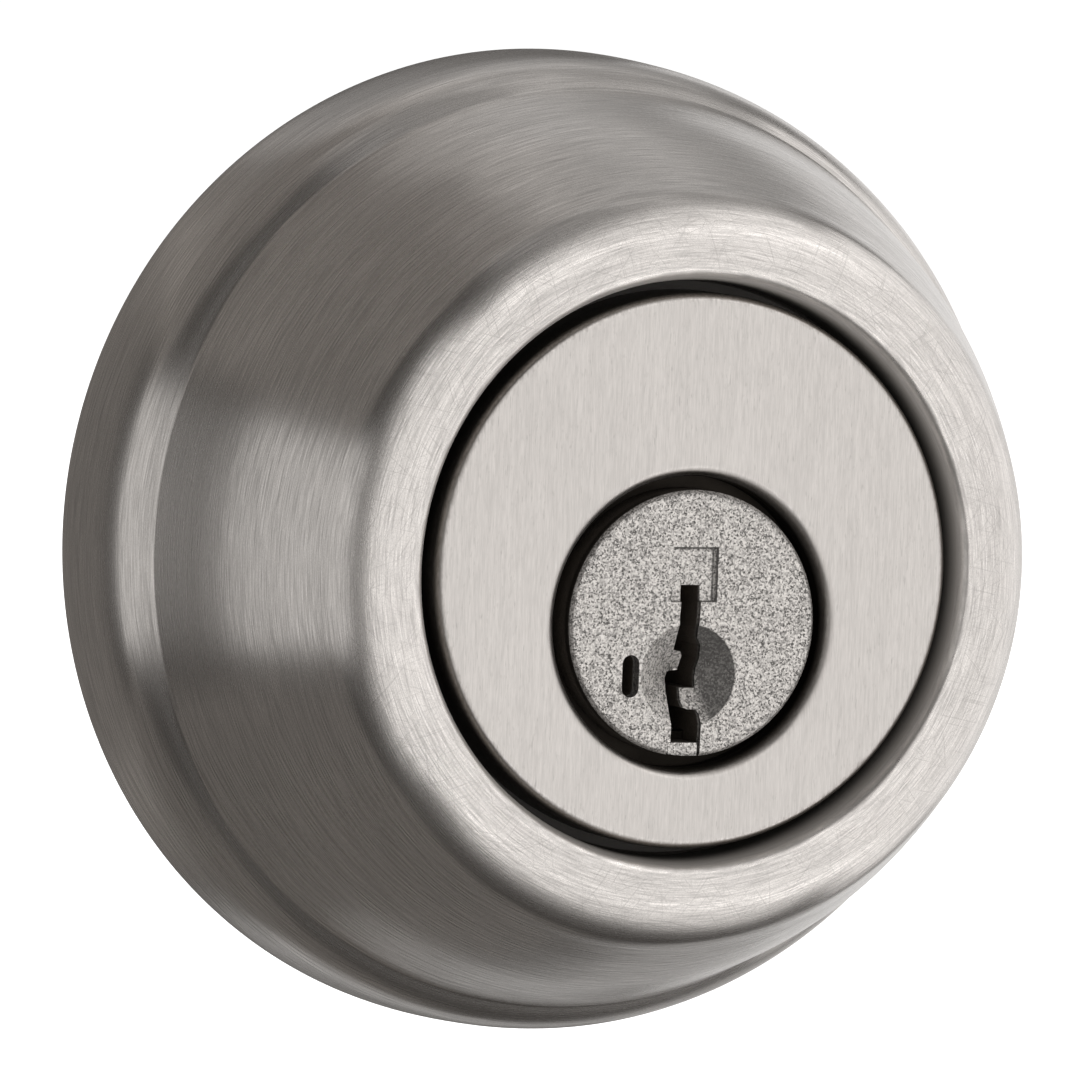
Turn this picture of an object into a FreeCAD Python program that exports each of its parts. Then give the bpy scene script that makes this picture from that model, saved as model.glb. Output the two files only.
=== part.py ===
import FreeCAD, Part
import math
import os
from FreeCAD import Vector as V

# Keyed outside unit of a single-cylinder deadbolt, millimetres.
# Frame: origin on the door's outside face, on the bell's axis. +Z up, +X to the
# right as seen from outside, and the outside looks along +Y, so the front of the
# lock is at negative Y and the tailpiece runs to positive Y, through the door.
# "d" below is the distance outwards from the door face: y = -d.

# ---- driving dimensions -------------------------------------------------
BELL_WALL = 1.25          # pressed wall of the bell
LIP_R = 19.5              # inner wall of the bell's rolled front lip
SEAT_D = (24.8, 26.0)     # seat flange in the bell that the cylinder head pulls against
SEAT_R = 16.9             # hole in that flange
RING_BORE_R = 17.6        # reinforcing ring bore
RING_TUBE_R = 20.4
RING_FLANGE_R = 31.7
RING_FLANGE_T = 2.4
BOSS_R = 26.8             # locating boss for a 54 mm cross bore
BOSS_INNER_R = 24.4
BOSS_LEN = 4.0
FACE_D = 30.4             # front plane of the face plate
FACE_R = 18.5
FACE_EDGE = 0.75          # rolled outer edge
HOLE_R = 9.75             # plug hole in the face plate
HOLE_LIP = 1.05           # rolled lip of that hole
BODY_R = 16.6             # die-cast cylinder body
HEAD_R = 17.6
POST_X = 12.7             # half the fixing screw spacing (25.4 mm)
POST_R = 3.6
POST_END = -6.0           # d of the posts' back ends
TAP_R = 1.95              # tapping hole for a 10-24 screw
TAP_DEPTH = 14.0
PLUG_Z = -3.44            # plug axis below the bell axis
PLUG_R = 7.4
BORE_R = 7.45
PLUG_FACE_R = 8.86
PLUG_FACE_D = 30.45
PLUG_FLANGE_D = 27.6      # back of the plug's face flange
PLUG_REAR_D = -4.2
DISH_U, DISH_W = -0.15, -3.45   # centre of the conical dish in the plug's face
DISH_R = 3.45
DISH_DEPTH = 2.2
RECESS = 0.25             # depth of the square recess above the keyway
PIN_PITCH = 3.81
PIN_FIRST = 6.03          # first pin behind the plug face
PIN_U = -0.25             # pin row, right of (+) the plug axis
PIN_R = 1.10
PIN_LEN = 3.8
STEP = 0.584              # rack tooth pitch, one key cut depth
CUTS = (2, 0, 3, 1, 2)    # keyed heights of the five pins, in steps
SIDEBAR_TRAVEL = 0.9
CARRIER_TRAVEL = 1.7
TAIL_END = -60.0          # d of the tailpiece's end
TAIL_R = 3.15

os.makedirs("parts", exist_ok=True)


def save(name, shape):
    shape = shape.removeSplitter() if len(shape.Solids) == 1 else shape
    assert shape.isValid(), name
    for s in shape.Solids:
        assert s.Volume > 0, name
    shape.exportStep("parts/%s.step" % name)
    print("%-24s solids %d volume %.2f" % (name, len(shape.Solids), shape.Volume))


def pt(r, d, cx=0.0, cz=0.0):
    return V(cx + r, -d, cz)


def wire_of(segments):
    """segments: ("L", [points]) straight runs or ("S", [points]) smooth runs, joined end to end, (r, d)."""
    edges = []
    for kind, pts in segments:
        ps = [pt(*p) for p in pts]
        if kind == "L":
            edges += [Part.LineSegment(a, b).toShape() for a, b in zip(ps, ps[1:])]
        else:
            c = Part.BSplineCurve()
            c.interpolate(ps)
            edges.append(c.toShape())
    return Part.Wire(edges)


def revolve(segments, cz=0.0):
    face = Part.Face(wire_of(segments))
    s = face.revolve(V(0, 0, 0), V(0, 1, 0), 360)
    s = Part.Solid(s.Shells[0]) if s.ShapeType != "Solid" else s
    if s.Volume < 0:
        s.reverse()
    if cz:
        s.translate(V(0, 0, cz))
    return s


def cyl(r, d0, d1, x=0.0, z=0.0):
    """round bar about an axis along Y, from d0 (nearer the door) to d1 (nearer the front)"""
    return Part.makeCylinder(r, d1 - d0, V(x, -d1, z), V(0, 1, 0))


def tube(ro, ri, d0, d1, x=0.0, z=0.0):
    return cyl(ro, d0, d1, x, z).cut(cyl(ri, d0 - 1, d1 + 1, x, z))


def box(u0, u1, w0, w1, d0, d1, z=PLUG_Z):
    """block in plug coordinates: u right of and w above the plug axis"""
    return Part.makeBox(u1 - u0, d1 - d0, w1 - w0, V(u0, -d1, w0 + z))


def prism(points, d0, d1, z=PLUG_Z):
    ps = [V(u, -d1, w + z) for u, w in points]
    return Part.Face(Part.makePolygon(ps + [ps[0]])).extrude(V(0, d1 - d0, 0))


def sector(r0, r1, a0, a1, d0, d1, z=PLUG_Z):
    """annular sector, angles in degrees from up, clockwise as seen from outside"""
    n = max(2, int((a1 - a0) / 6))
    out = []
    for i in range(n + 1):
        a = math.radians(a0 + (a1 - a0) * i / n)
        out.append((a, r1))
    outer = Part.Arc(*[V(r1 * math.sin(a), -d1, r1 * math.cos(a) + z) for a in
                       (math.radians(a0), math.radians((a0 + a1) / 2), math.radians(a1))]).toShape()
    inner = Part.Arc(*[V(r0 * math.sin(a), -d1, r0 * math.cos(a) + z) for a in
                       (math.radians(a1), math.radians((a0 + a1) / 2), math.radians(a0))]).toShape()
    l1 = Part.LineSegment(outer.valueAt(outer.LastParameter), inner.valueAt(inner.FirstParameter)).toShape()
    l2 = Part.LineSegment(inner.valueAt(inner.LastParameter), outer.valueAt(outer.FirstParameter)).toShape()
    f = Part.Face(Part.Wire([outer, l1, inner, l2]))
    return f.extrude(V(0, d1 - d0, 0))


def coil(r, wire, length, turns, base, direction):
    """round-wire compression spring standing on base, along direction"""
    h = length - 2 * wire
    helix = Part.makeLongHelix(h / turns, h, r)
    section = Part.Wire(Part.makeCircle(wire, V(r, 0, 0), V(0, 1, 0)))
    s = Part.Wire(helix.Edges).makePipeShell([section], True, True)
    s = s.Solids[0] if s.Solids else Part.Solid(s.Shells[0])
    s.translate(V(0, 0, wire))
    s.Placement = FreeCAD.Placement(base, FreeCAD.Rotation(V(0, 0, 1), direction)).multiply(s.Placement)
    return s


def edges_at(shape, d, r, cx=0.0, cz=0.0, tol=0.02):
    found = []
    for e in shape.Edges:
        c = e.Curve
        if isinstance(c, Part.Circle) and abs(c.Radius - r) < tol and abs(c.Center.y + d) < tol \
                and abs(c.Center.x - cx) < tol and abs(c.Center.z - cz) < tol:
            found.append(e)
    return found


# ---- bell (trim ring) ---------------------------------------------------
# A pressed shell: side wall, rounded shoulder, crease, tapering waist, rounded
# front crest, then rolled back inwards to a seat flange for the cylinder head.
shoulder = [(33.22, 0.25), (33.42, 0.7), (33.50, 1.8), (33.46, 3.4), (33.38, 5.0), (33.27, 6.6), (33.04, 8.2),
            (32.62, 9.6), (31.98, 10.75), (31.12, 11.55)]
waist = [(31.12, 11.55), (30.70, 13.0), (30.16, 15.0), (29.60, 17.0), (28.98, 19.0), (28.24, 21.0), (27.42, 23.0),
         (26.74, 24.6), (26.06, 26.1), (25.42, 27.4), (24.85, 28.5), (24.10, 29.45), (23.20, 30.25), (22.25, 30.78),
         (21.35, 30.98), (20.55, 30.80), (19.92, 30.22), (19.58, 29.35), (LIP_R, 28.3)]
inner_lip = [(LIP_R + 1.2, 28.0), (20.98, 28.95), (21.6, 29.55), (22.4, 29.35), (23.12, 28.75), (23.75, 27.8),
             (24.35, 26.6), (24.95, 25.4), (25.55, 24.1), (26.2, 22.55), (27.0, 20.6), (27.75, 18.6), (28.35, 16.6),
             (28.92, 14.6), (29.45, 12.6), (29.85, 11.0)]
inner_shoulder = [(29.85, 11.0), (30.7, 10.2), (31.35, 9.2), (31.8, 7.9), (32.03, 6.4), (32.15, 4.8), (32.2, 3.2),
                  (32.2, 1.6), (32.15, 0.0)]
trim_ring = revolve([
    ("L", [(32.15, 0.0), (33.0, 0.0), (33.22, 0.25)]),
    ("S", shoulder),
    ("S", waist),
    ("L", [(LIP_R, 28.3), (LIP_R, SEAT_D[1]), (SEAT_R, SEAT_D[1]), (SEAT_R, SEAT_D[0]), (LIP_R + 1.2, SEAT_D[0]),
           (LIP_R + 1.2, 28.0)]),
    ("S", inner_lip),
    ("S", inner_shoulder),
])
save("trim_ring", trim_ring)

# ---- reinforcing ring ---------------------------------------------------
# Cast support inside the bell: it carries the clamping load from the seat flange
# to the door, and its boss centres the lock in the cross bore.
ring = tube(RING_TUBE_R, RING_BORE_R, 0.0, SEAT_D[0])
ring = ring.fuse(tube(RING_FLANGE_R, RING_BORE_R, 0.0, RING_FLANGE_T))
ring = ring.fuse(tube(BOSS_R, BOSS_INNER_R, -BOSS_LEN, 0.5))
# ribs up to the bell's inside, in four pairs
gusset = [(RING_TUBE_R - 1.2, RING_FLANGE_T - 0.6), (30.4, RING_FLANGE_T - 0.6), (30.4, 6.5), (28.2, 10.5), (23.0, 22.6),
          (RING_TUBE_R - 1.2, 23.6)]
for k in range(4):
    for lean in (-5.5, 5.5):
        f = Part.Face(Part.makePolygon([pt(*p) for p in gusset + gusset[:1]]))
        g = f.extrude(V(0, 0, 1.5))
        g.translate(V(0, 0, -0.75))
        g.rotate(V(0, 0, 0), V(0, 1, 0), 90 * k + 45 + lean)
        ring = ring.fuse(g)
# coring windows in the flange, between the boss and the tube
for k in range(12):
    ring = ring.cut(sector(21.4, 23.6, 30 * k - 10.0 + 15 - 15, 30 * k + 10.0 + 15 - 15, -1.0, RING_FLANGE_T + 0.2, 0.0))
save("reinforcing_ring", ring)

# ---- face plate ---------------------------------------------------------
# Pressed cap over the cylinder head, with a rolled outer edge and a rolled lip
# round the plug hole.
cap = cyl(FACE_R, SEAT_D[1], FACE_D)
cap = cap.makeFillet(FACE_EDGE, edges_at(cap, FACE_D, FACE_R))
cap = cap.cut(cyl(FACE_R - 0.8, SEAT_D[1] - 1, FACE_D - 1.0))
cap = cap.fuse(cyl(HOLE_R + 1.15, 28.44, FACE_D - 0.9, 0, PLUG_Z))
cap = cap.cut(cyl(HOLE_R, 20, 40, 0, PLUG_Z))
cap = cap.makeFillet(HOLE_LIP, edges_at(cap, FACE_D, HOLE_R, 0, PLUG_Z))
# skirt turned in under the head's rim, which holds the cap on
cap = cap.fuse(tube(FACE_R - 0.4, FACE_R - 1.25, SEAT_D[1], SEAT_D[1] + 0.4))
save("face_plate", cap)

# ---- hardened plate behind the face ------------------------------------
antidrill = cyl(17.4, 28.45, 29.35).cut(cyl(HOLE_R + 1.3, 20, 40, 0, PLUG_Z))
for x in (-10.5, 10.5):
    antidrill = antidrill.cut(cyl(1.1, 20, 40, x, 9.5))
save("hardened_plate", antidrill)

# ---- cylinder body ------------------------------------------------------
body = cyl(HEAD_R, SEAT_D[1] + 0.45, 28.4)
body = body.fuse(cyl(HEAD_R - 0.45, SEAT_D[1], SEAT_D[1] + 0.5))
body = body.fuse(cyl(BODY_R, 9.0, SEAT_D[1] + 0.2))
body = body.fuse(cyl(11.2, 0.0, 9.5, 0, PLUG_Z))
for x in (-POST_X, POST_X):
    body = body.fuse(cyl(POST_R, POST_END, 12.0, x, 0))
    body = body.fuse(box(min(x, 0), max(x, 0), -1.6, 1.6, 0.6, 12.0, 0.0))
# locating dowels for the hardened plate
for x in (-10.5, 10.5):
    body = body.fuse(cyl(1.0, 27.5, 29.2, x, 9.5))
# cored pockets behind the head
for x, z, r in ((0.0, 10.3, 2.9), (-7.0, 9.6, 2.4), (7.0, 9.6, 2.4), (-12.0, 7.0, 1.9), (12.0, 7.0, 1.9)):
    body = body.cut(cyl(r, 0.0, 24.0, x, z))
body = body.cut(cyl(BORE_R, -20, 40, 0, PLUG_Z))
body = body.cut(cyl(HOLE_R, PLUG_FLANGE_D - 0.1, 40, 0, PLUG_Z))
for x in (-POST_X, POST_X):
    body = body.cut(cyl(TAP_R, POST_END - 1, POST_END + TAP_DEPTH, x, 0))
# sidebar grooves along the bore: home, and one at each quarter turn
groove = [(-7.0, 1.3), (-7.45, 0.95), (-8.35, 0.2), (-8.35, -0.2), (-7.45, -0.95), (-7.0, -1.3)]
for a in (0, 90, -90):
    g = prism(groove, 4.6, 26.4)
    g.rotate(V(0, 0, PLUG_Z), V(0, 1, 0), a)
    body = body.cut(g)
# pockets for two hardened pins beside the bore, open to the front
for x, z in ((9.9, 4.2), (-9.9, 4.2)):
    body = body.cut(cyl(1.02, 20.0, 40.0, x, z))
save("cylinder_body", body)

pins = Part.makeCompound([cyl(1.0, 20.05, 28.35, x, 4.2) for x in (9.9, -9.9)])
save("body_hardened_pins", pins)

# ---- plug ---------------------------------------------------------------
PIN_D = [PLUG_FACE_D - PIN_FIRST - PIN_PITCH * i for i in range(5)]
keyway = [(-0.86, 2.55), (0.52, 2.55), (0.56, 1.5), (0.55, 0.5), (0.50, -0.3), (0.66, -1.0), (1.0, -1.49), (1.14, -2.39),
          (1.04, -3.1), (0.96, -4.41), (-0.04, -4.43), (-0.17, -5.2), (-0.08, -5.66), (0.2, -5.77), (0.78, -5.77),
          (0.92, -6.1), (0.88, -7.9), (-1.28, -7.9), (-1.26, -6.3), (-1.20, -5.17), (-1.12, -3.76), (-0.86, -3.35),
          (0.0, -3.26), (0.0, -2.3), (-0.19, -1.98), (-0.77, -1.86), (-0.89, -0.6), (-0.93, 0.5), (-0.86, 1.5)]
plug = cyl(PLUG_R, PLUG_REAR_D, PLUG_FLANGE_D + 0.2, 0, PLUG_Z)
flange = cyl(PLUG_FACE_R, PLUG_FLANGE_D, PLUG_FACE_D, 0, PLUG_Z)
flange = flange.makeChamfer(0.22, edges_at(flange, PLUG_FACE_D, PLUG_FACE_R, 0, PLUG_Z))
plug = plug.fuse(flange)
# conical dish that guides the key in
dish = Part.makeCone(0.3, DISH_R, DISH_DEPTH, V(DISH_U, -(PLUG_FACE_D - DISH_DEPTH), DISH_W + PLUG_Z), V(0, -1, 0))
plug = plug.cut(dish)
# shallow square recess above the keyway, with a sloped right flank
recess = [(-1.53, PLUG_FACE_D + 1), (-1.53, PLUG_FACE_D), (-1.50, PLUG_FACE_D - RECESS), (1.44, PLUG_FACE_D - RECESS),
          (1.72, PLUG_FACE_D), (1.72, PLUG_FACE_D + 1)]
recess = [V(u, -d, 1.44 + PLUG_Z) for u, d in recess]
plug = plug.cut(Part.Face(Part.makePolygon(recess + recess[:1])).extrude(V(0, 0, 3.63)))
# keyway, open along the underside of the barrel and closed in the flange by a shim
plug = plug.cut(prism(keyway, 3.0, 40))
plug = plug.cut(box(-1.28, 0.88, -8.0, -7.0, 3.0, PLUG_FLANGE_D + 0.1))
plug = plug.cut(box(-1.46, 0.88, -9.5, -7.9, PLUG_FLANGE_D - 0.1, 40))
# rekeying tool slot, through the flange to the carrier
slot = box(-4.95, -3.73, -4.33, -2.72, 26.5, 40).fuse(cyl(0.61, 26.5, 40, -4.34, -2.72 + PLUG_Z)).fuse(
    cyl(0.61, 26.5, 40, -4.34, -4.33 + PLUG_Z))
plug = plug.cut(slot)
# pocket for the carrier and racks, open to the left
POCKET_D = (5.0, 27.2)
for u1, w0, w1 in ((-2.4, -5.2, -2.5), (-1.9, -2.55, 2.8), (-1.0, 2.75, 5.3)):
    plug = plug.cut(box(-9, u1, w0, w1, *POCKET_D))
# pin chambers and the slot for their cover
for d in PIN_D:
    plug = plug.cut(Part.makeCylinder(PIN_R + 0.05, 8.0, V(PIN_U, -d, PLUG_Z), V(0, 0, 1)))
plug = plug.cut(box(PIN_U - 1.25, PIN_U + 1.25, 6.7, 8.5, 7.0, 26.8))
# hardened pins ahead of the first chamber
for u, w in ((4.6, 2.4), (4.6, -2.4)):
    plug = plug.cut(cyl(0.82, 19.9, 27.9, u, w + PLUG_Z))
# groove for the retaining clip, and the cup that holds the tailpiece
plug = plug.cut(tube(9.0, 6.5, -1.02, -0.12, 0, PLUG_Z))
plug = plug.cut(cyl(5.9, -9.0, -1.2, 0, PLUG_Z))
plug = plug.cut(cyl(6.4, -3.92, -3.32, 0, PLUG_Z))
plug = plug.fuse(sector(3.35, 6.2, 150, 210, -3.1, -1.0))
save("plug", plug)

shim = box(-1.42, 0.66, -9.5, -7.94, PLUG_FLANGE_D + 0.15, PLUG_FACE_D - 0.02).common(
    cyl(PLUG_FACE_R - 0.06, 20, 40, 0, PLUG_Z))
save("keyway_shim", shim)

cover = box(PIN_U - 1.2, PIN_U + 1.2, 6.72, 8.5, 7.05, 26.75).common(cyl(PLUG_R - 0.04, 0, 40, 0, PLUG_Z))
save("spring_cover", cover)

hard = Part.makeCompound([cyl(0.8, 19.95, 27.65, u, w + PLUG_Z) for u, w in ((4.6, 2.4), (4.6, -2.4))])
save("plug_hardened_pins", hard)

clip = sector(6.55, 9.3, 35, 325, -0.97, -0.17)
save("plug_clip", clip)

snap = sector(4.7, 6.33, 20, 340, -3.87, -3.37)
save("tailpiece_snap_ring", snap)

# ---- pins, springs and racks -------------------------------------------
for i, (d, k) in enumerate(zip(PIN_D, CUTS)):
    tip = 0.2 + k * STEP
    pin = Part.makeCylinder(PIN_R - 0.32, PIN_LEN, V(PIN_U, -d, tip + PLUG_Z), V(0, 0, 1))
    # pointed foot that follows the key, then solid rings between the rack grooves
    pin = pin.cut(Part.makeCylinder(PIN_R, 0.5, V(PIN_U, -d, tip + PLUG_Z), V(0, 0, 1)))
    pin = pin.fuse(Part.makeCone(0.35, PIN_R, 0.5, V(PIN_U, -d, tip + PLUG_Z), V(0, 0, 1)))
    low = tip + 0.5
    w = tip + 0.464 + STEP
    pin = pin.cut(Part.makeCylinder(PIN_R, w - STEP + 0.146 - low + 0.0, V(PIN_U, -d, low + PLUG_Z), V(0, 0, 1)))
    pin = pin.fuse(Part.makeCylinder(PIN_R - 0.32, w - STEP + 0.146 - low, V(PIN_U, -d, low + PLUG_Z), V(0, 0, 1)))
    while w + 0.146 < tip + PIN_LEN:
        pin = pin.fuse(Part.makeCylinder(PIN_R, STEP - 0.292, V(PIN_U, -d, w - STEP + 0.146 + PLUG_Z), V(0, 0, 1)))
        w += STEP
    pin = pin.fuse(Part.makeCylinder(PIN_R, tip + PIN_LEN - (w - STEP + 0.146),
                                     V(PIN_U, -d, w - STEP + 0.146 + PLUG_Z), V(0, 0, 1)))
    save("pin_%d" % (i + 1), pin)
    top = tip + PIN_LEN + 0.02
    turns = 4 if 6.7 - top > 1.8 else 3
    save("pin_spring_%d" % (i + 1), coil(0.72, 0.11, 6.68 - top, turns, V(PIN_U, -d, top + PLUG_Z), V(0, 0, 1)))
    rack = box(-4.1, -2.0, -2.45, 5.2, d - 0.8, d + 0.8)
    rack = rack.fuse(box(-2.1, -1.42, 2.86, 5.2, d - 0.8, d + 0.8))
    for j in range(4):
        h = 3.0 + j * STEP
        rack = rack.fuse(box(-1.5, -1.1, h - 0.12, h + 0.12, d - 0.8, d + 0.8))
    rack = rack.cut(box(-4.3, -3.3, -0.42, 0.42, d - 2, d + 2))
    save("rack_%d" % (i + 1), rack)

# ---- carrier, sidebar and their springs --------------------------------
CARRIER_D = (7.0, 27.1)
carrier = box(-9, -2.5, -5.1, 2.65, *CARRIER_D).fuse(box(-9, -2.0, -2.4, 2.65, *CARRIER_D)).fuse(
    box(-9, -4.3, 2.6, 5.2, *CARRIER_D))
carrier = carrier.common(cyl(PLUG_R - 0.05, 0, 40, 0, PLUG_Z))
for d in PIN_D:
    carrier = carrier.cut(box(-4.17, -1.0, -2.52, 5.5, d - 0.86, d + 0.86))
carrier = carrier.cut(box(-9, -4.6, -0.80, 0.80, 8.6, 25.9))
carrier = carrier.cut(box(-4.8, -3.2, -0.36, 0.36, 8.6, 25.9))
carrier = carrier.cut(cyl(0.85, 0, 12.0, -5.3, -3.4 + PLUG_Z))
SIDE_SPRING_D = (10.95, 22.4)
for d in SIDE_SPRING_D:
    carrier = carrier.cut(Part.makeCylinder(0.58, 2.0, V(-3.2, -d, PLUG_Z), V(-1, 0, 0)))
save("carrier", carrier)
save("carrier_spring", coil(0.6, 0.12, 6.9, 9, V(-5.3, -11.97, -3.4 + PLUG_Z), V(0, 1, 0)))

bar = [(-6.55, 0.75), (-7.28, 0.12), (-7.28, -0.12), (-6.55, -0.75), (-4.75, -0.75), (-4.75, -0.28), (-3.5, -0.28),
       (-3.5, 0.28), (-4.75, 0.28), (-4.75, 0.75)]
sidebar = prism(bar, 8.8, 25.7)
for d in SIDE_SPRING_D:
    sidebar = sidebar.cut(Part.makeCylinder(0.55, 3.0, V(-3.3, -d, PLUG_Z), V(-1, 0, 0)))
save("sidebar", sidebar)
for name, d in zip(("sidebar_spring_rear", "sidebar_spring_front"), SIDE_SPRING_D):
    # each stands in a blind hole in the bar and bears on the carrier's web between two racks
    save(name, coil(0.38, 0.08, 3.02, 6, V(-3.22, -d, PLUG_Z), V(-1, 0, 0)))

# ---- tailpiece ----------------------------------------------------------
# Driver disc with a 153 degree window, so the plug turns a quarter turn back
# before it picks the tailpiece up again, and a D-section blade.
disc = cyl(5.83, -3.18, -1.3, 0, PLUG_Z).cut(sector(3.15, 7.0, 58.5, 211.5, -5.0, 0.0))
blade = cyl(TAIL_R, TAIL_END, -2.5, 0, PLUG_Z).common(box(-1.15, 4.0, -4, 4, TAIL_END, -2.5))
blade = blade.cut(prism([(2.35, 4), (4, 4), (4, -4), (2.35, -4)], TAIL_END - 1, TAIL_END + 3))
tail = disc.fuse(blade)
save("tailpiece", tail)
print("done")
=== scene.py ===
import math
import bmesh
import bpy
from mathutils import Matrix, Vector


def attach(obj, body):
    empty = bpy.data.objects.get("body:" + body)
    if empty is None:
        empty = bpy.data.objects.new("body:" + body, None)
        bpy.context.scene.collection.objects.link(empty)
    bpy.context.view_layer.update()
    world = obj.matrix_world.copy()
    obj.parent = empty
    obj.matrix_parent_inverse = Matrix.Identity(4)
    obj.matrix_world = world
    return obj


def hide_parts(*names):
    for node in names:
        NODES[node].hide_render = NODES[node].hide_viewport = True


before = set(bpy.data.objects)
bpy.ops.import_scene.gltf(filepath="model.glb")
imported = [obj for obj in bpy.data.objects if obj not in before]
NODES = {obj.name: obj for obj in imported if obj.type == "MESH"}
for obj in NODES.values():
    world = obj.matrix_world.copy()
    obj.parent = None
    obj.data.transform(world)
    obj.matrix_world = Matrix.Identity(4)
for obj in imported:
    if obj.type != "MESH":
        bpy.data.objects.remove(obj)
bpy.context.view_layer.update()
MM = 0.001
PLUG_Z = -3.44
scene = bpy.context.scene


# ---------------------------------------------------------------- shader helpers
class Mat:
    """small wrapper that builds a node tree"""

    def __init__(self, name):
        self.m = bpy.data.materials.new(name)
        self.m.use_nodes = True
        self.t = self.m.node_tree
        self.t.nodes.clear()
        self.out = self.n("ShaderNodeOutputMaterial")
        self.p = self.n("ShaderNodeBsdfPrincipled")
        self.link(self.p.outputs[0], self.out.inputs[0])

    def n(self, kind, **props):
        node = self.t.nodes.new(kind)
        for k, v in props.items():
            setattr(node, k, v)
        return node

    def link(self, a, b):
        self.t.links.new(a, b)

    def put(self, sock, v):
        if isinstance(v, bpy.types.NodeSocket):
            self.link(v, sock)
        else:
            sock.default_value = v

    def math(self, op, a, b=0.0, c=None, clamp=False):
        x = self.n("ShaderNodeMath", operation=op, use_clamp=clamp)
        self.put(x.inputs[0], a)
        self.put(x.inputs[1], b)
        if c is not None:
            self.put(x.inputs[2], c)
        return x.outputs[0]

    def xyz(self):
        tc = self.n("ShaderNodeTexCoord")
        s = self.n("ShaderNodeSeparateXYZ")
        self.link(tc.outputs["Object"], s.inputs[0])
        return s.outputs[0], s.outputs[1], s.outputs[2]

    def vec(self, x, y, z):
        c = self.n("ShaderNodeCombineXYZ")
        self.put(c.inputs[0], x)
        self.put(c.inputs[1], y)
        self.put(c.inputs[2], z)
        return c.outputs[0]

    def noise(self, vec, scale, detail=2.0, rough=0.5, dist=0.0):
        x = self.n("ShaderNodeTexNoise")
        self.link(vec, x.inputs["Vector"])
        x.inputs["Scale"].default_value = scale
        x.inputs["Detail"].default_value = detail
        x.inputs["Roughness"].default_value = rough
        x.inputs["Distortion"].default_value = dist
        return x.outputs["Fac"]

    def remap(self, v, a, b, c, d, smooth=False):
        x = self.n("ShaderNodeMapRange", clamp=True)
        if smooth:
            x.interpolation_type = "SMOOTHSTEP"
        self.put(x.inputs[0], v)
        for i, q in enumerate((a, b, c, d)):
            self.put(x.inputs[i + 1], q)
        return x.outputs[0]

    def mix(self, fac, a, b):
        x = self.n("ShaderNodeMix", data_type="RGBA")
        self.put(x.inputs["Factor"], fac)
        self.put(x.inputs[6], a)
        self.put(x.inputs[7], b)
        return x.outputs[2]

    def bump(self, height, strength, dist, normal=None):
        b = self.n("ShaderNodeBump")
        b.inputs["Strength"].default_value = strength
        b.inputs["Distance"].default_value = dist
        self.link(height, b.inputs["Height"])
        if normal is not None:
            self.link(normal, b.inputs["Normal"])
        return b.outputs[0]

    def done(self, color, rough, normal=None, metallic=1.0, aniso=0.0, tangent=None):
        p = self.p
        self.put(p.inputs["Base Color"], color)
        self.put(p.inputs["Roughness"], rough)
        self.put(p.inputs["Metallic"], metallic)
        if normal is not None:
            self.link(normal, p.inputs["Normal"])
        if aniso:
            p.inputs["Anisotropic"].default_value = aniso
            p.inputs["Anisotropic Rotation"].default_value = 0.25
        if tangent is not None:
            self.link(tangent, p.inputs["Tangent"])
        return self.m


def polar(mat, cz=0.0):
    """unit direction round the axis (no seam), radius and y"""
    x, y, z = mat.xyz()
    if cz:
        z = mat.math("SUBTRACT", z, cz)
    r = mat.math("SQRT", mat.math("ADD", mat.math("MULTIPLY", x, x), mat.math("MULTIPLY", z, z)))
    r = mat.math("MAXIMUM", r, 1e-5)
    return mat.math("DIVIDE", x, r), mat.math("DIVIDE", z, r), r, y


def c4(rgb):
    return (rgb[0], rgb[1], rgb[2], 1.0)


def scaled(rgb, k):
    return c4([min(1.0, v * k) for v in rgb])


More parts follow.
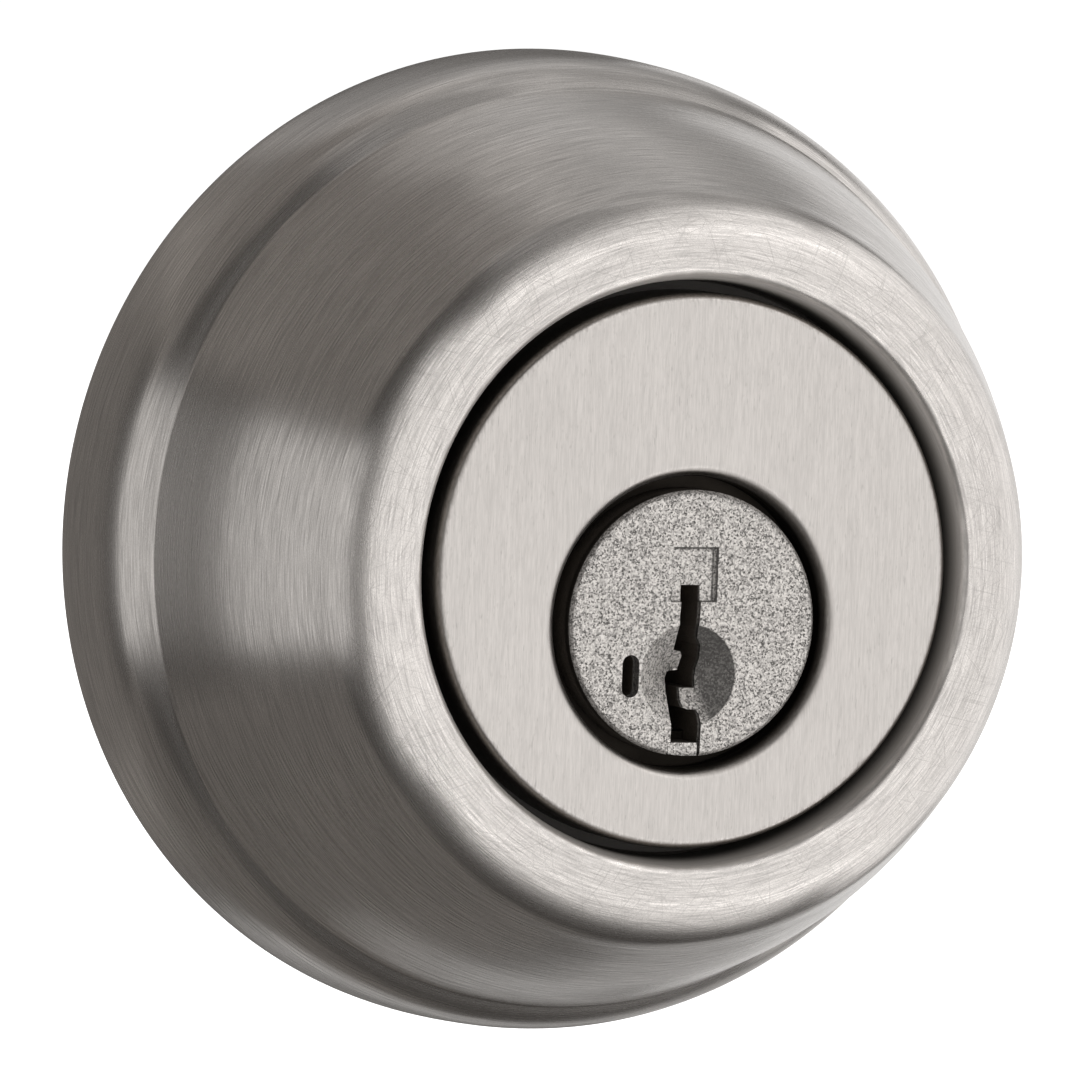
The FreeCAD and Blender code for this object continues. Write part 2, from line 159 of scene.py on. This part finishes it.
def spun_metal(name, base, rough=0.34, cz=0.0, streak=0.16, aniso=0.55, crest=False, gap=None):
    """plated metal finished with a belt running round the axis: short streaks along the circumference"""
    m = Mat(name)
    cx, sz, r, y = polar(m, cz)
    s = m.math("ADD", r, y)
    fine = m.noise(m.vec(m.math("MULTIPLY", cx, 9.0), m.math("MULTIPLY", sz, 9.0), m.math("MULTIPLY", s, 10500.0)), 1.0, 2.0, 0.65)
    mid = m.noise(m.vec(m.math("MULTIPLY", cx, 4.0), m.math("MULTIPLY", sz, 4.0), m.math("MULTIPLY", s, 5200.0)), 1.0, 2.0, 0.6)
    # two more sets lying a few degrees off, so that the streaks cross
    x, yy, z = m.xyz()
    off1 = m.noise(m.vec(m.math("MULTIPLY", x, 250.0), m.math("MULTIPLY", z, 250.0),
                         m.math("MULTIPLY", m.math("ADD", s, m.math("MULTIPLY", x, 0.13)), 11000.0)), 1.0, 1.0, 0.5)
    off2 = m.noise(m.vec(m.math("MULTIPLY", x, 230.0), m.math("MULTIPLY", z, 230.0),
                         m.math("MULTIPLY", m.math("SUBTRACT", s, m.math("MULTIPLY", z, 0.15)), 9500.0)), 1.0, 1.0, 0.5)
    off = m.math("MULTIPLY", m.math("ADD", off1, off2), 0.5)
    sand = m.noise(m.vec(m.math("MULTIPLY", x, 9000.0), m.math("MULTIPLY", yy, 9000.0), m.math("MULTIPLY", z, 9000.0)), 1.0, 1.0, 0.5)
    broad = m.noise(m.vec(m.math("MULTIPLY", x, 55.0), m.math("MULTIPLY", yy, 110.0), m.math("MULTIPLY", z, 55.0)), 1.0, 2.0, 0.5)
    h = m.math("ADD", m.math("MULTIPLY", fine, 0.56), m.math("ADD", m.math("MULTIPLY", mid, 0.20), m.math("MULTIPLY", off, 0.24)))
    dark = m.remap(h, 0.38, 0.63, 1.0 - streak, 1.0 + streak * 0.55)
    dark = m.math("MULTIPLY", dark, m.remap(sand, 0.30, 0.70, 0.93, 1.05))
    dark = m.math("MULTIPLY", dark, m.remap(broad, 0.3, 0.7, 0.95, 1.04))
    # sparse deeper scratches
    cut = m.noise(m.vec(m.math("MULTIPLY", cx, 11.0), m.math("MULTIPLY", sz, 11.0), m.math("MULTIPLY", s, 9000.0)), 1.0, 1.0, 0.4)
    cuts = m.remap(cut, 0.71, 0.78, 0.0, 1.0)
    dark = m.math("MULTIPLY", dark, m.remap(cuts, 0.0, 1.0, 1.0, 0.80))
    hair = None
    if crest:
        # hairline scratches from handling and polishing on the front crest, lying in several directions
        ring = m.math("MULTIPLY", m.remap(r, 0.0198, 0.0206, 0.0, 1.0), m.remap(r, 0.0232, 0.0252, 1.0, 0.0))
        lines = None
        for ang, k, seed in ((22.0, 1.0, 3.1), (58.0, 0.9, 7.7), (-12.0, 1.1, 12.4), (104.0, 0.8, 21.0), (-47.0, 0.9, 33.0)):
            a = math.radians(ang)
            u = m.math("ADD", m.math("MULTIPLY", x, math.cos(a)), m.math("MULTIPLY", z, math.sin(a)))
            v = m.math("SUBTRACT", m.math("MULTIPLY", z, math.cos(a)), m.math("MULTIPLY", x, math.sin(a)))
            q = m.noise(m.vec(m.math("MULTIPLY", u, 210.0 * k), m.math("MULTIPLY", v, 9500.0 * k), seed), 1.0, 2.0, 0.5, 0.0)
            q = m.remap(q, 0.60, 0.70, 0.0, 1.0)
            lines = q if lines is None else m.math("MAXIMUM", lines, q)
        hair = m.math("MULTIPLY", lines, ring)
        dark = m.math("MULTIPLY", dark, m.remap(hair, 0.0, 1.0, 1.0, 0.84))
    col = m.mix(m.remap(dark, 0.5, 1.25, 0.0, 1.0), scaled(base, 0.5), scaled(base, 1.25))
    metal = 1.0
    if gap:
        # unpolished, tarnished metal inside the narrow gap: r below gap[0], deeper than gap[1]; further down, its
        # colour fades to near black as painted shade
        g = m.math("MULTIPLY", m.remap(m.math("ADD", r, m.math("MULTIPLY", m.math("SUBTRACT", off, 0.5), 0.0006)), gap[0], gap[0] - 0.0007, 0.0, 1.0), m.remap(y, gap[1] - 0.0006, gap[1] + 0.0006, 0.0, 1.0))
        # painted shade: the tarnished colour goes darker the deeper the point lies in the gap
        deep = m.mix(m.remap(y, gap[1] + 0.0004, gap[1] + 0.0024, 0.0, 1.0), (0.30, 0.278, 0.256, 1.0), (0.045, 0.040, 0.035, 1.0))
        col = m.mix(g, col, deep)
        metal = m.remap(g, 0.0, 1.0, 1.0, 0.35)
    rg = m.math("ADD", m.remap(h, 0.35, 0.65, rough + 0.05, rough - 0.05), m.math("MULTIPLY", cuts, 0.08))
    if gap:
        rg = m.math("ADD", rg, m.math("MULTIPLY", g, 0.2))
    hh = h if hair is None else m.math("SUBTRACT", h, m.math("MULTIPLY", hair, 0.35))
    n = m.bump(hh, 0.5, 0.000011)
    tan = m.n("ShaderNodeTangent", direction_type="RADIAL", axis="Y")
    return m.done(col, rg, n, metallic=metal, aniso=aniso, tangent=tan.outputs[0])


def flat_brushed(name, base, rough=0.33, aniso=0.5):
    """plated metal brushed straight up and down"""
    m = Mat(name)
    x, y, z = m.xyz()
    fine = m.noise(m.vec(m.math("MULTIPLY", x, 13000.0), m.math("MULTIPLY", y, 3000.0), m.math("MULTIPLY", z, 800.0)), 1.0, 2.0, 0.6)
    mid = m.noise(m.vec(m.math("MULTIPLY", x, 5600.0), m.math("MULTIPLY", y, 1500.0), m.math("MULTIPLY", z, 260.0)), 1.0, 2.0, 0.5)
    tick = m.noise(m.vec(m.math("MULTIPLY", x, 9000.0), m.math("MULTIPLY", y, 900.0), m.math("MULTIPLY", z, 1100.0)), 1.0, 1.0, 0.4)
    ticks = m.remap(tick, 0.70, 0.77, 0.0, 1.0)
    h = m.math("ADD", m.math("MULTIPLY", fine, 0.65), m.math("MULTIPLY", mid, 0.35))
    broad = m.noise(m.vec(m.math("MULTIPLY", x, 90.0), y, m.math("MULTIPLY", z, 60.0)), 1.0, 2.0, 0.5)
    dark = m.remap(h, 0.36, 0.64, 0.88, 1.05)
    dark = m.math("MULTIPLY", dark, m.remap(broad, 0.3, 0.7, 0.985, 1.015))
    dark = m.math("MULTIPLY", dark, m.remap(ticks, 0.0, 1.0, 1.0, 0.84))
    col = m.mix(m.remap(dark, 0.74, 1.07, 0.0, 1.0), scaled(base, 0.74), scaled(base, 1.07))
    # the rolled lip round the plug hole and the outer edge: torn brushing and wear, darkened also as painted shade
    # where the edges roll over, then painted shade, near black, down the side of the hole and down the outer side into
    # the groove
    zc = m.math("SUBTRACT", z, PLUG_Z * MM)
    rp = m.math("SQRT", m.math("ADD", m.math("MULTIPLY", x, x), m.math("MULTIPLY", zc, zc)))
    torn = m.noise(m.vec(m.math("MULTIPLY", x, 5200.0), m.math("MULTIPLY", y, 5200.0), m.math("MULTIPLY", z, 1500.0)), 1.0, 2.0, 0.6)
    deep = m.math("ADD", y, m.math("MULTIPLY", m.math("SUBTRACT", torn, 0.5), 0.00030))
    bore = m.remap(rp, 0.0125, 0.0118, 0.0, 1.0)
    # real torn brushing on the rolled lip of the plug hole, its colour darkened also as painted shade where the lip
    # rolls over
    frayed_lip_and_shade = m.math("MULTIPLY", bore, m.math("MULTIPLY", m.remap(deep, -0.03036, -0.03010, 0.0, 1.0), m.remap(torn, 0.38, 0.58, 0.85, 0.45)))
    col = m.mix(frayed_lip_and_shade, col, (0.30, 0.276, 0.252, 1.0))
    lip = m.math("MULTIPLY", bore, m.remap(deep, -0.02965, -0.02915, 0.0, 1.0))
    outer = m.remap(rp, 0.0125, 0.0130, 0.0, 1.0)
    # worn outer edge of the plate, its colour darkened also as painted shade where the edge rolls over
    worn_edge_and_shade = m.math("MULTIPLY", outer, m.math("MULTIPLY", m.remap(deep, -0.03037, -0.03022, 0.0, 1.0), m.remap(torn, 0.38, 0.60, 0.95, 0.70)))
    col = m.mix(worn_edge_and_shade, col, (0.185, 0.168, 0.152, 1.0))
    rim = m.math("MULTIPLY", outer, m.remap(deep, -0.02930, -0.02800, 0.0, 1.0))
    # painted shade, near black, on the wall of the plug hole (lip) and on the plate's outer side down into the groove
    # (rim)
    col = m.mix(lip, col, (0.055, 0.048, 0.041, 1.0))
    col = m.mix(rim, col, (0.07, 0.062, 0.054, 1.0))
    rg = m.remap(h, 0.35, 0.65, rough + 0.04, rough - 0.04)
    n = m.bump(m.math("SUBTRACT", h, m.math("MULTIPLY", ticks, 0.5)), 0.35, 0.000008)
    tan = m.n("ShaderNodeTangent", direction_type="RADIAL", axis="X")
    return m.done(col, rg, n, aniso=aniso, tangent=tan.outputs[0])


def blasted(name, base, rough=0.5, size=3600.0, contrast=0.3, bump=0.9):
    """die-cast zinc blasted with fine grit: sparkling pits and grains with no direction, painted shade in what lies
    deep
    """
    m = Mat(name)
    tc = m.n("ShaderNodeTexCoord")
    v = m.n("ShaderNodeTexVoronoi", feature="F1")
    v.inputs["Scale"].default_value = size
    m.link(tc.outputs["Object"], v.inputs["Vector"])
    grain = m.noise(tc.outputs["Object"], size * 0.95, 2.0, 0.75)
    clump = m.noise(tc.outputs["Object"], size * 0.16, 2.0, 0.5)
    dots = m.noise(tc.outputs["Object"], size * 0.62, 1.0, 0.5)
    cell = m.n("ShaderNodeSeparateColor")
    m.link(v.outputs["Color"], cell.inputs[0])
    g = m.math("ADD", m.math("MULTIPLY", grain, 0.6), m.math("MULTIPLY", cell.outputs[0], 0.4))
    k = m.remap(g, 0.27, 0.68, 1.0 - contrast, 1.0 + contrast * 0.6)
    k = m.math("MULTIPLY", k, m.remap(clump, 0.3, 0.7, 0.94, 1.05))
    pits = m.math("MAXIMUM", m.remap(cell.outputs[1], 0.86, 0.89, 0.0, 1.0), m.remap(dots, 0.365, 0.335, 0.0, 1.0))
    k = m.math("MULTIPLY", k, m.remap(pits, 0.0, 1.0, 1.0, 0.34))
    # distance below the face, less what the dish and the square recess take
    x, y, z = m.xyz()
    u = m.math("MULTIPLY", x, 1000.0)
    w = m.math("SUBTRACT", m.math("MULTIPLY", z, 1000.0), PLUG_Z)
    down = m.math("MULTIPLY", m.math("ADD", y, 0.03045), 1000.0)
    du = m.math("SUBTRACT", u, -0.15)
    dw = m.math("SUBTRACT", w, -3.45)
    rho = m.math("SQRT", m.math("ADD", m.math("MULTIPLY", du, du), m.math("MULTIPLY", dw, dw)))
    dish = m.math("MAXIMUM", m.math("MULTIPLY", m.math("SUBTRACT", 1.0, m.math("DIVIDE", rho, 3.45)), 2.2), 0.0)
    under = m.math("SUBTRACT", down, dish)
    slot = m.remap(u, -2.6, -2.4, 1.0, 0.0)
    rad = m.math("SQRT", m.math("ADD", m.math("MULTIPLY", u, u), m.math("MULTIPLY", w, w)))
    edge = m.remap(rad, 8.55, 8.65, 0.0, 1.0)
    near = m.math("ADD", m.math("MULTIPLY", slot, 0.50), 0.30)
    # painted shade: near black where a point lies deep below the face, in the keyway and the tool slot
    depth_shade = m.math("MULTIPLY", m.math("SUBTRACT", under, near), 3.2, clamp=True)
    # painted shade on the dish: its right flank much darker and its upper part a little darker, where the cone faces
    # away from the light
    inside = m.math("MULTIPLY", m.remap(rho, 3.52, 3.40, 0.0, 1.0), m.remap(down, 0.02, 0.06, 0.0, 1.0))
    soft = m.math("MULTIPLY", m.math("SUBTRACT", grain, 0.5), 1.6)
    side = m.math("ADD", m.math("ADD", du, m.math("MULTIPLY", dw, 0.18)), soft)
    dish_flank_shade = m.math("MULTIPLY", inside, m.remap(side, 0.75, 1.25, 0.0, 1.0))
    dish_upper_shade = m.math("MULTIPLY", inside, m.math("MULTIPLY", m.remap(m.math("ADD", dw, soft), 0.7, 2.0, 0.0, 1.0), 0.5))
    k = m.math("MULTIPLY", k, m.remap(dish_flank_shade, 0.0, 1.0, 1.0, 0.30))
    k = m.math("MULTIPLY", k, m.remap(dish_upper_shade, 0.0, 1.0, 1.0, 0.72))

    def line(v, at, half):
        return m.math("SUBTRACT", 1.0, m.math("DIVIDE", m.math("ABSOLUTE", m.math("SUBTRACT", v, at)), half), clamp=True)

    # painted shadow lines along the foot and the brow of the square recess
    across = m.math("MULTIPLY", m.remap(u, -1.60, -1.54, 0.0, 1.0), m.remap(u, 1.70, 1.76, 1.0, 0.0))
    along = m.math("MULTIPLY", m.remap(w, 1.38, 1.43, 0.0, 1.0), m.remap(w, 5.07, 5.13, 1.0, 0.0))
    rows = m.math("MAXIMUM", line(w, 5.02, 0.17), m.math("MULTIPLY", line(w, 1.46, 0.09), 0.8))
    cols = m.math("MAXIMUM", m.math("MAXIMUM", line(u, 1.66, 0.15), line(u, 1.41, 0.10)), m.math("MULTIPLY", line(u, -1.50, 0.07), 0.45))
    recess_shadow_lines = m.math("MULTIPLY", m.math("MAXIMUM", rows, cols), m.math("MULTIPLY", across, along))
    recess_shadow_lines = m.math("MULTIPLY", recess_shadow_lines, m.remap(grain, 0.35, 0.6, 1.15, 0.7), clamp=True)
    k = m.math("MULTIPLY", k, m.remap(recess_shadow_lines, 0.0, 0.7, 1.0, 0.22))
    # darker towards the outer edge of the face
    k = m.math("MULTIPLY", k, m.remap(m.math("ADD", rad, m.math("MULTIPLY", m.math("SUBTRACT", clump, 0.5), 1.3)), 8.35, 8.75, 1.0, 0.62))
    col = m.mix(m.remap(k, 0.2, 1.25, 0.0, 1.0), scaled(base, 0.2), scaled(base, 1.25))
    # painted shade, near black, on the plug's side below its face, in the gap
    col = m.mix(m.math("MULTIPLY", edge, m.remap(down, 0.12, 0.42, 0.0, 1.0)), col, (0.06, 0.052, 0.044, 1.0))
    col = m.mix(depth_shade, col, (0.032, 0.025, 0.019, 1.0))
    rg = m.remap(grain, 0.3, 0.7, rough + 0.12, rough - 0.1)
    h = m.math("SUBTRACT", g, m.math("MULTIPLY", pits, 0.5))
    return m.done(col, rg, m.bump(h, bump, 0.00006), metallic=m.math("SUBTRACT", 1.0, depth_shade))


def cast(name, base, rough=0.46):
    """plain die casting: faint flow mottling, fine skin, a little draw marking"""
    m = Mat(name)
    tc = m.n("ShaderNodeTexCoord")
    skin = m.noise(tc.outputs["Object"], 1900.0, 3.0, 0.6)
    flow = m.noise(tc.outputs["Object"], 140.0, 4.0, 0.6, 0.8)
    k = m.math("MULTIPLY", m.remap(skin, 0.3, 0.7, 0.93, 1.05), m.remap(flow, 0.3, 0.7, 0.86, 1.08))
    col = m.mix(m.remap(k, 0.75, 1.15, 0.0, 1.0), scaled(base, 0.75), scaled(base, 1.15))
    # painted shade, near black, on every zinc casting in front of y = -0.0262: the narrow gap round the plug's face and
    # behind the bell's lip
    x, y, z = m.xyz()
    front = m.remap(y, -0.0262, -0.0266, 0.0, 1.0)
    col = m.mix(front, col, (0.020, 0.017, 0.014, 1.0))
    rg = m.remap(flow, 0.3, 0.7, rough + 0.1, rough - 0.08)
    return m.done(col, rg, m.bump(skin, 0.4, 0.00004))


def drawn(name, base, rough=0.3, axis="y", scale=5200.0, contrast=0.1):
    """cold-drawn or stamped steel: lines along one axis, slight stain"""
    m = Mat(name)
    x, y, z = m.xyz()
    k = {"x": (0.03, 1.0, 1.0), "y": (1.0, 0.03, 1.0), "z": (1.0, 1.0, 0.03)}[axis]
    lines = m.noise(m.vec(m.math("MULTIPLY", x, scale * k[0]), m.math("MULTIPLY", y, scale * k[1]),
                          m.math("MULTIPLY", z, scale * k[2])), 1.0, 2.0, 0.55)
    stain = m.noise(m.vec(m.math("MULTIPLY", x, 260.0), m.math("MULTIPLY", y, 90.0), m.math("MULTIPLY", z, 260.0)), 1.0, 3.0, 0.6)
    q = m.math("MULTIPLY", m.remap(lines, 0.3, 0.7, 1.0 - contrast, 1.0 + contrast * 0.5), m.remap(stain, 0.3, 0.7, 0.88, 1.05))
    col = m.mix(m.remap(q, 0.7, 1.1, 0.0, 1.0), scaled(base, 0.7), scaled(base, 1.1))
    rg = m.remap(stain, 0.3, 0.7, rough + 0.08, rough - 0.05)
    return m.done(col, rg, m.bump(lines, 0.3, 0.00001))


NICKEL = (0.585, 0.554, 0.528)
BELL = spun_metal("bell_satin_nickel", NICKEL, rough=0.27, streak=0.29, aniso=0.45, crest=True, gap=(0.02030, -0.0304))
PLATE = flat_brushed("plate_satin_nickel", (0.50, 0.4715, 0.448))
BLAST = blasted("plug_blasted_zinc", (0.50, 0.476, 0.452), size=8600.0, contrast=0.55)
ZINC = cast("zinc_die_casting", (0.50, 0.50, 0.49))
HARD = drawn("hardened_steel", (0.10, 0.097, 0.095), rough=0.45)
BRASS = drawn("turned_brass", (0.66, 0.47, 0.20), rough=0.28, axis="x")
SPRING = drawn("spring_wire", (0.42, 0.42, 0.43), rough=0.24)
RACK = drawn("stamped_rack_steel", (0.44, 0.44, 0.45), rough=0.32, axis="z")
TAIL = drawn("zinc_plated_tailpiece", (0.60, 0.60, 0.57), rough=0.28)
CLIP = drawn("clip_strip_steel", (0.34, 0.34, 0.35), rough=0.30, axis="x")


def dress(node, mat):
    o = NODES[node]
    if not o.material_slots:
        o.data.materials.append(mat)
    for s in o.material_slots:
        s.material = mat


for n in NODES:
    if n.startswith("pin_spring") or n in ("carrier_spring", "sidebar_spring_rear", "sidebar_spring_front"):
        dress(n, SPRING)
    elif n.startswith("pin_") or n in ("spring_cover", "sidebar"):
        dress(n, BRASS)
    elif n.startswith("rack_"):
        dress(n, RACK)
    elif n in ("hardened_plate", "body_hardened_pins", "plug_hardened_pins"):
        dress(n, HARD)
    elif n in ("plug_clip", "tailpiece_snap_ring"):
        dress(n, CLIP)
    elif n == "tailpiece":
        dress(n, TAIL)
    elif n in ("plug", "keyway_shim"):
        dress(n, BLAST)
    elif n == "face_plate":
        dress(n, PLATE)
    elif n == "trim_ring":
        dress(n, BELL)
    else:
        dress(n, ZINC)


# ---------------------------------------------------------------- mesh helpers
def curve_through(pts, n):
    """points of a smooth curve through pts (centripetal Catmull-Rom), n per span"""
    ps = [Vector((p[0], p[1])) for p in pts]
    ps = [ps[0] * 2 - ps[1]] + ps + [ps[-1] * 2 - ps[-2]]
    out = []
    for i in range(1, len(ps) - 2):
        p0, p1, p2, p3 = ps[i - 1:i + 3]
        t0 = 0.0
        t1 = t0 + math.sqrt((p1 - p0).length)
        t2 = t1 + math.sqrt((p2 - p1).length)
        t3 = t2 + math.sqrt((p3 - p2).length)
        for k in range(n):
            t = t1 + (t2 - t1) * k / n
            a1 = p0 * ((t1 - t) / (t1 - t0)) + p1 * ((t - t0) / (t1 - t0))
            a2 = p1 * ((t2 - t) / (t2 - t1)) + p2 * ((t - t1) / (t2 - t1))
            a3 = p2 * ((t3 - t) / (t3 - t2)) + p3 * ((t - t2) / (t3 - t2))
            b1 = a1 * ((t2 - t) / (t2 - t0)) + a2 * ((t - t0) / (t2 - t0))
            b2 = a2 * ((t3 - t) / (t3 - t1)) + a3 * ((t - t1) / (t3 - t1))
            out.append(tuple(b1 * ((t2 - t) / (t2 - t1)) + b2 * ((t - t1) / (t2 - t1))))
    out.append(tuple(ps[-2]))
    return out


def finish_mesh(name, bm, sharp=32.0):
    bmesh.ops.remove_doubles(bm, verts=bm.verts, dist=1e-7)
    bmesh.ops.recalc_face_normals(bm, faces=bm.faces)
    lim = math.radians(sharp)
    for f in bm.faces:
        f.smooth = True
    for e in bm.edges:
        e.smooth = not (len(e.link_faces) == 2 and e.calc_face_angle(0.0) > lim)
    me = bpy.data.meshes.new(name)
    bm.to_mesh(me)
    bm.free()
    ob = bpy.data.objects.new(name, me)
    scene.collection.objects.link(ob)
    return ob


def lathe(name, profile, segs=360, cz=0.0, sharp=32.0):
    """closed (r, d) profile turned about the Y axis; d is the distance out from the door"""
    bm = bmesh.new()
    rings = []
    for k in range(segs):
        a = 2 * math.pi * k / segs
        c, s = math.cos(a), math.sin(a)
        rings.append([bm.verts.new((r * c * MM, -d * MM, (r * s + cz) * MM)) for r, d in profile])
    n = len(profile)
    for k in range(segs):
        A, B = rings[k], rings[(k + 1) % segs]
        for i in range(n):
            j = (i + 1) % n
            bm.faces.new((A[i], A[j], B[j], B[i]))
    return finish_mesh(name, bm, sharp)


# ---------------------------------------------------------------- bell
shoulder = curve_through([(33.22, 0.25), (33.40, 0.7), (33.47, 1.8), (33.44, 3.4), (33.36, 5.0), (33.25, 6.6), (33.02, 8.2),
                          (32.60, 9.6), (31.99, 10.62), (31.14, 11.53)], 6)
waist = curve_through([(31.14, 11.53), (30.72, 13.0), (30.16, 15.0), (29.60, 17.0), (28.98, 19.0), (28.24, 21.0), (27.42, 23.0),
                       (26.74, 24.6), (26.07, 26.1), (25.63, 27.1), (25.22, 28.05), (24.86, 28.70), (24.35, 29.27), (23.75, 29.78),
                       (23.1, 30.22), (22.4, 30.57), (21.6, 30.84), (20.85, 30.94), (20.25, 30.92), (19.88, 30.74), (19.60, 30.36),
                       (19.42, 29.8), (19.31, 29.1), (19.25, 28.2)], 6)
inner = curve_through([(20.7, 28.0), (20.98, 28.95), (21.6, 29.55), (22.4, 29.35), (23.12, 28.75), (23.75, 27.8), (24.35, 26.6),
                       (24.95, 25.4), (25.55, 24.1), (26.2, 22.55), (27.0, 20.6), (27.75, 18.6), (28.35, 16.6), (28.92, 14.6),
                       (29.45, 12.6), (29.85, 11.0)], 3)
inner2 = curve_through([(29.85, 11.0), (30.7, 10.2), (31.35, 9.2), (31.8, 7.9), (32.03, 6.4), (32.15, 4.8), (32.2, 3.2),
                        (32.2, 1.6), (32.2, 0.12)], 3)
bell_profile = ([(32.3, 0.0), (33.05, 0.0)] + shoulder[:-1] + waist + [(19.25, 26.15), (19.1, 26.0), (17.0, 26.0), (16.9, 25.9),
                (16.9, 24.9), (17.0, 24.8), (20.7, 24.8)] + inner[:-1] + inner2)
bell = lathe("bell_shell", bell_profile, 384, sharp=28.0)
bell.data.materials.append(BELL)
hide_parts("trim_ring")
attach(bell, "housing")

# ---------------------------------------------------------------- stage, light, camera
cam_data = bpy.data.cameras.new("camera")
cam = bpy.data.objects.new("camera", cam_data)
scene.collection.objects.link(cam)
scene.camera = cam
A, E, ROLL = math.radians(23.5), math.radians(4.0), math.radians(2.2)
back = Vector((-math.sin(A) * math.cos(E), -math.cos(A) * math.cos(E), math.sin(E)))
right = Vector((math.cos(A), -math.sin(A), 0))
up = Vector((math.sin(A) * math.sin(E), math.cos(A) * math.sin(E), math.cos(E)))
R = right * math.cos(ROLL) + up * math.sin(ROLL)
U = up * math.cos(ROLL) - right * math.sin(ROLL)
pos = Vector((0, -0.015, 0)) + back * 0.8 - R * (0.0611 / 14.83) + U * (0.0131 / 14.83)
cam.matrix_world = Matrix(((R.x, U.x, back.x, pos.x), (R.y, U.y, back.y, pos.y), (R.z, U.z, back.z, pos.z), (0, 0, 0, 1)))
cam_data.sensor_width = 36.0
cam_data.lens = 14.83 * 800 / 1080 * 36
cam_data.clip_start = 0.01
cam_data.clip_end = 100

bm = bmesh.new()
bmesh.ops.create_grid(bm, x_segments=8, y_segments=8, size=45.0)
floor_me = bpy.data.meshes.new("floor")
bm.to_mesh(floor_me)
bm.free()
floor = bpy.data.objects.new("floor", floor_me)
floor.location = (0, 0, -0.075)
scene.collection.objects.link(floor)
fm = Mat("floor_pale")
ft = fm.n("ShaderNodeTexCoord")
fm.done(fm.mix(fm.noise(ft.outputs["Object"], 3.0), (0.90, 0.90, 0.90, 1), (0.93, 0.93, 0.925, 1)), 0.9, metallic=0.0)
fm.p.inputs["Specular IOR Level"].default_value = 0.0
fm.p.inputs["Emission Color"].default_value = (1, 1, 1, 1)
fm.p.inputs["Emission Strength"].default_value = 1.0
floor.data.materials.append(fm.m)
floor.visible_glossy = False
floor.visible_shadow = False


def softbox(name, az, el, dist, w, h, radiance, color=(1, 1, 1)):
    """rectangular softbox facing the lock; az from the front, positive to the right; radiance is what a mirror would show"""
    a, e = math.radians(az), math.radians(el)
    d = Vector((math.sin(a) * math.cos(e), -math.cos(a) * math.cos(e), math.sin(e)))
    ld = bpy.data.lights.new(name, "AREA")
    ld.shape = "RECTANGLE"
    ld.size, ld.size_y = w, h
    ld.energy = radiance * w * h * math.pi
    ld.color = color
    lo = bpy.data.objects.new(name, ld)
    scene.collection.objects.link(lo)
    lo.location = Vector((0, -0.015, 0)) + d * dist
    lo.rotation_euler = d.to_track_quat("Z", "Y").to_euler()
    lo.visible_camera = False
    return lo


WARM = (1.0, 0.945, 0.895)
softbox("box_front_left", -34.5, 0, 1.5, 0.58, 2.6, 1.29)
softbox("box_front", -2, 0, 1.5, 1.15, 2.8, 1.29)
softbox("box_right_front", 42, 0, 1.5, 1.25, 3.2, 1.30)
softbox("box_right", 90, 0, 1.5, 1.35, 2.8, 1.32)
softbox("box_right_back", 134, 0, 1.5, 1.0, 1.3, 0.98)
softbox("box_low_front", 32, -56, 1.5, 1.9, 0.75, 1.10)
softbox("box_top_front", 32, 54, 1.5, 1.9, 0.70, 1.10)
softbox("box_top_right", 120, 62, 1.5, 1.9, 1.0, 0.36)
softbox("box_top", 0, 90, 1.5, 1.1, 1.1, 0.30)
softbox("box_back_up", 156, 38, 1.5, 1.3, 0.8, 0.32)
softbox("box_back_low", 152, -35, 1.5, 1.2, 0.55, 0.46)
softbox("box_left", -91, 0, 1.5, 1.75, 1.25, 0.78)
softbox("box_left_up", -140, 48, 1.5, 1.9, 1.4, 0.19, WARM)
softbox("box_left_low", -142, -50, 1.5, 1.9, 1.4, 0.12, WARM)
softbox("box_back_left", -164, 0, 1.5, 1.3, 1.6, 0.15, WARM)

world = bpy.data.worlds.new("studio")
scene.world = world
world.use_nodes = True
wt = world.node_tree
wt.nodes.clear()
wo = wt.nodes.new("ShaderNodeOutputWorld")
wb = wt.nodes.new("ShaderNodeBackground")
wb.inputs[0].default_value = (1.0, 0.93, 0.87, 1)
wb.inputs[1].default_value = 0.06
wt.links.new(wb.outputs[0], wo.inputs[0])
scene.view_settings.view_transform = "Standard"
scene.view_settings.look = "None"
